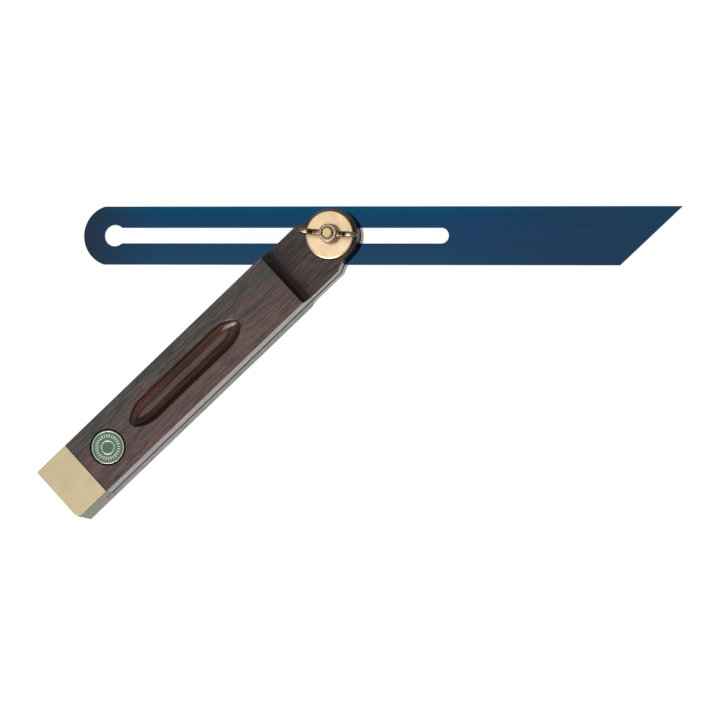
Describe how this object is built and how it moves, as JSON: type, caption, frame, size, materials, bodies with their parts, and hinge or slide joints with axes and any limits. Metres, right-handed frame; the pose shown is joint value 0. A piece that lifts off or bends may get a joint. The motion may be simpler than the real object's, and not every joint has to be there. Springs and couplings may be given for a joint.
{
  "type": "sliding bevel",
  "caption": "Sliding bevel with a slotted hardwood stock, a slotted blued steel blade and a brass wing nut that locks the angle.",
  "frame": {"origin": "middle of the grip's flat back, halfway between the step to the head and the brass cap's end", "axes": "+X along the stock from the brass cap to the head, +Z from the back to the wing nut; the bolt's axis is parallel to Z at x = 91.85 mm"},
  "size_m": [0.2684, 0.1682, 0.0276],
  "materials": {
    "wood": "oiled dark rosewood with fine grain",
    "cap_brass": "satin, ground along the stock",
    "bright_brass": "polished",
    "blued_steel": "ground and heat blued",
    "badge_metal": "satin nickel-silver tone",
    "enamel": "glossy green enamel"
  },
  "bodies": {
    "stock": {"stock": "wood", "end_cap": "cap_brass", "badge_plate": "badge_metal", "badge_enamel": "enamel", "back_washer": "bright_brass"},
    "bolt": {"pivot_bolt": "bright_brass"},
    "blade": {"blade": "blued_steel"},
    "washer": {"front_washer": "bright_brass"},
    "nut": {"wing_nut": "bright_brass"}
  },
  "joints": [
    {"name": "swing", "type": "hinge", "parent": "stock", "child": "bolt", "pos_m": [0.09185, 0, 0.01], "axis": [0, 0, 1], "range_deg": [-125.5, 213]},
    {"name": "blade_slide", "type": "slide", "parent": "bolt", "child": "blade", "axis": [0.7218, -0.6921, 0], "range_m": [-0.036, 0.093]},
    {"name": "washer_lift", "type": "slide", "parent": "bolt", "child": "washer", "axis": [0, 0, 1], "range_m": [0, 0.00082]},
    {"name": "nut_turn", "type": "hinge", "parent": "washer", "child": "nut", "pos_m": [0.09185, 0, 0.0184], "axis": [0, 0, 1], "range_deg": [0, 360]}
  ],
  "couplings": [
    {"joint": "washer_lift", "follows": "nut_turn", "m_per_rad": 0.00012732}
  ]
}
